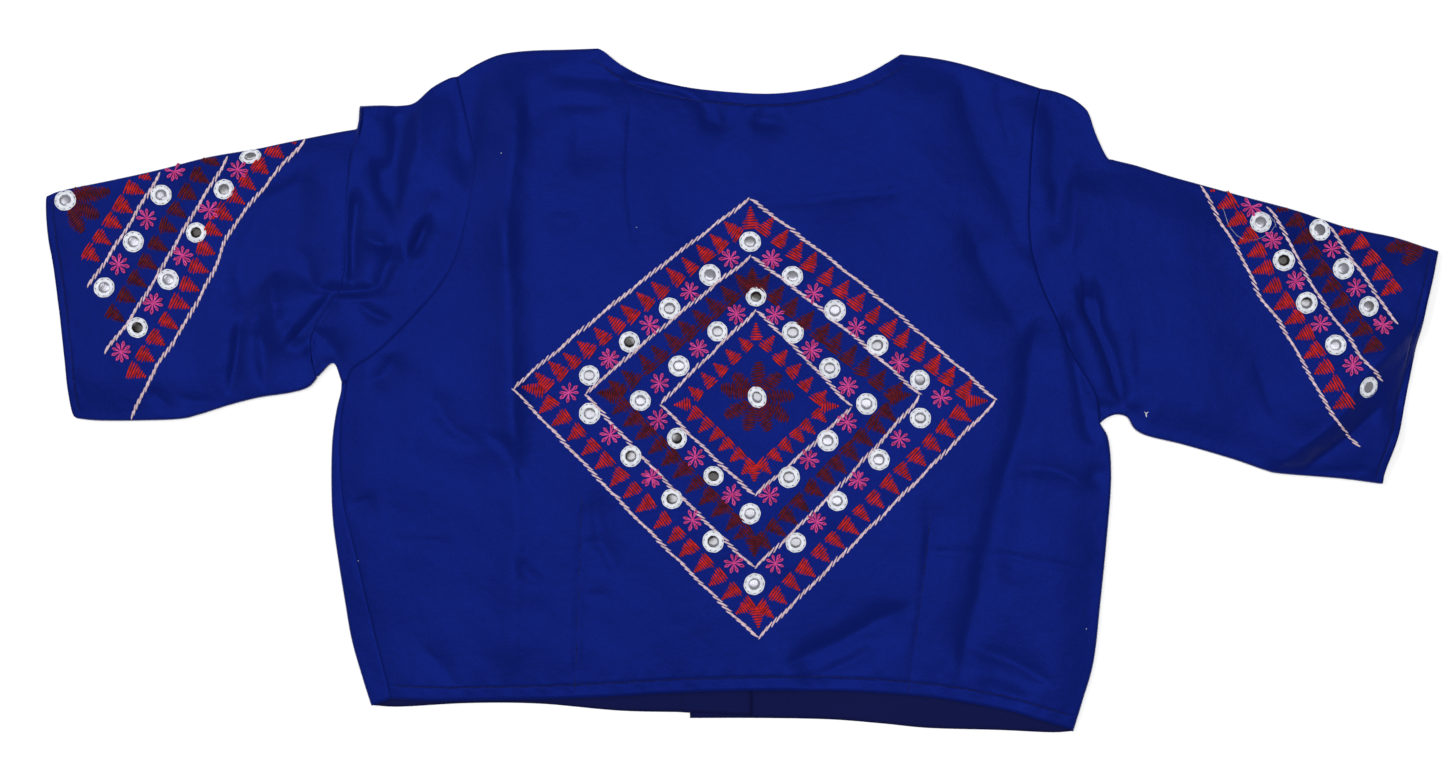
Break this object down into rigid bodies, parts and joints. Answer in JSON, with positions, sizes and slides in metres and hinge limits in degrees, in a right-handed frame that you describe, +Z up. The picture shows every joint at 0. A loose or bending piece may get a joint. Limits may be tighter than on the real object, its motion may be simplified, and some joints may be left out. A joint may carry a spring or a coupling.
{
  "type": "choli blouse",
  "caption": "Short cotton satin choli blouse lying flat with its back up, its sleeves spread and one sleeve head caught in a pleat.",
  "frame": {"origin": "middle of the blouse's outline on the surface that it lies on", "axes": "+Z up from the surface, +Y towards the neck, +X to the right as the back is seen from above"},
  "size_m": [0.8327, 0.4098, 0.0078],
  "materials": {
    "cotton_satin": "soft sheen",
    "inside_cloth": "dull"
  },
  "bodies": {
    "root": {"back": "cotton_satin", "front_left": "inside_cloth", "front_right": "inside_cloth", "sleeve_left": "cotton_satin", "sleeve_right": "cotton_satin"}
  },
  "joints": []
}
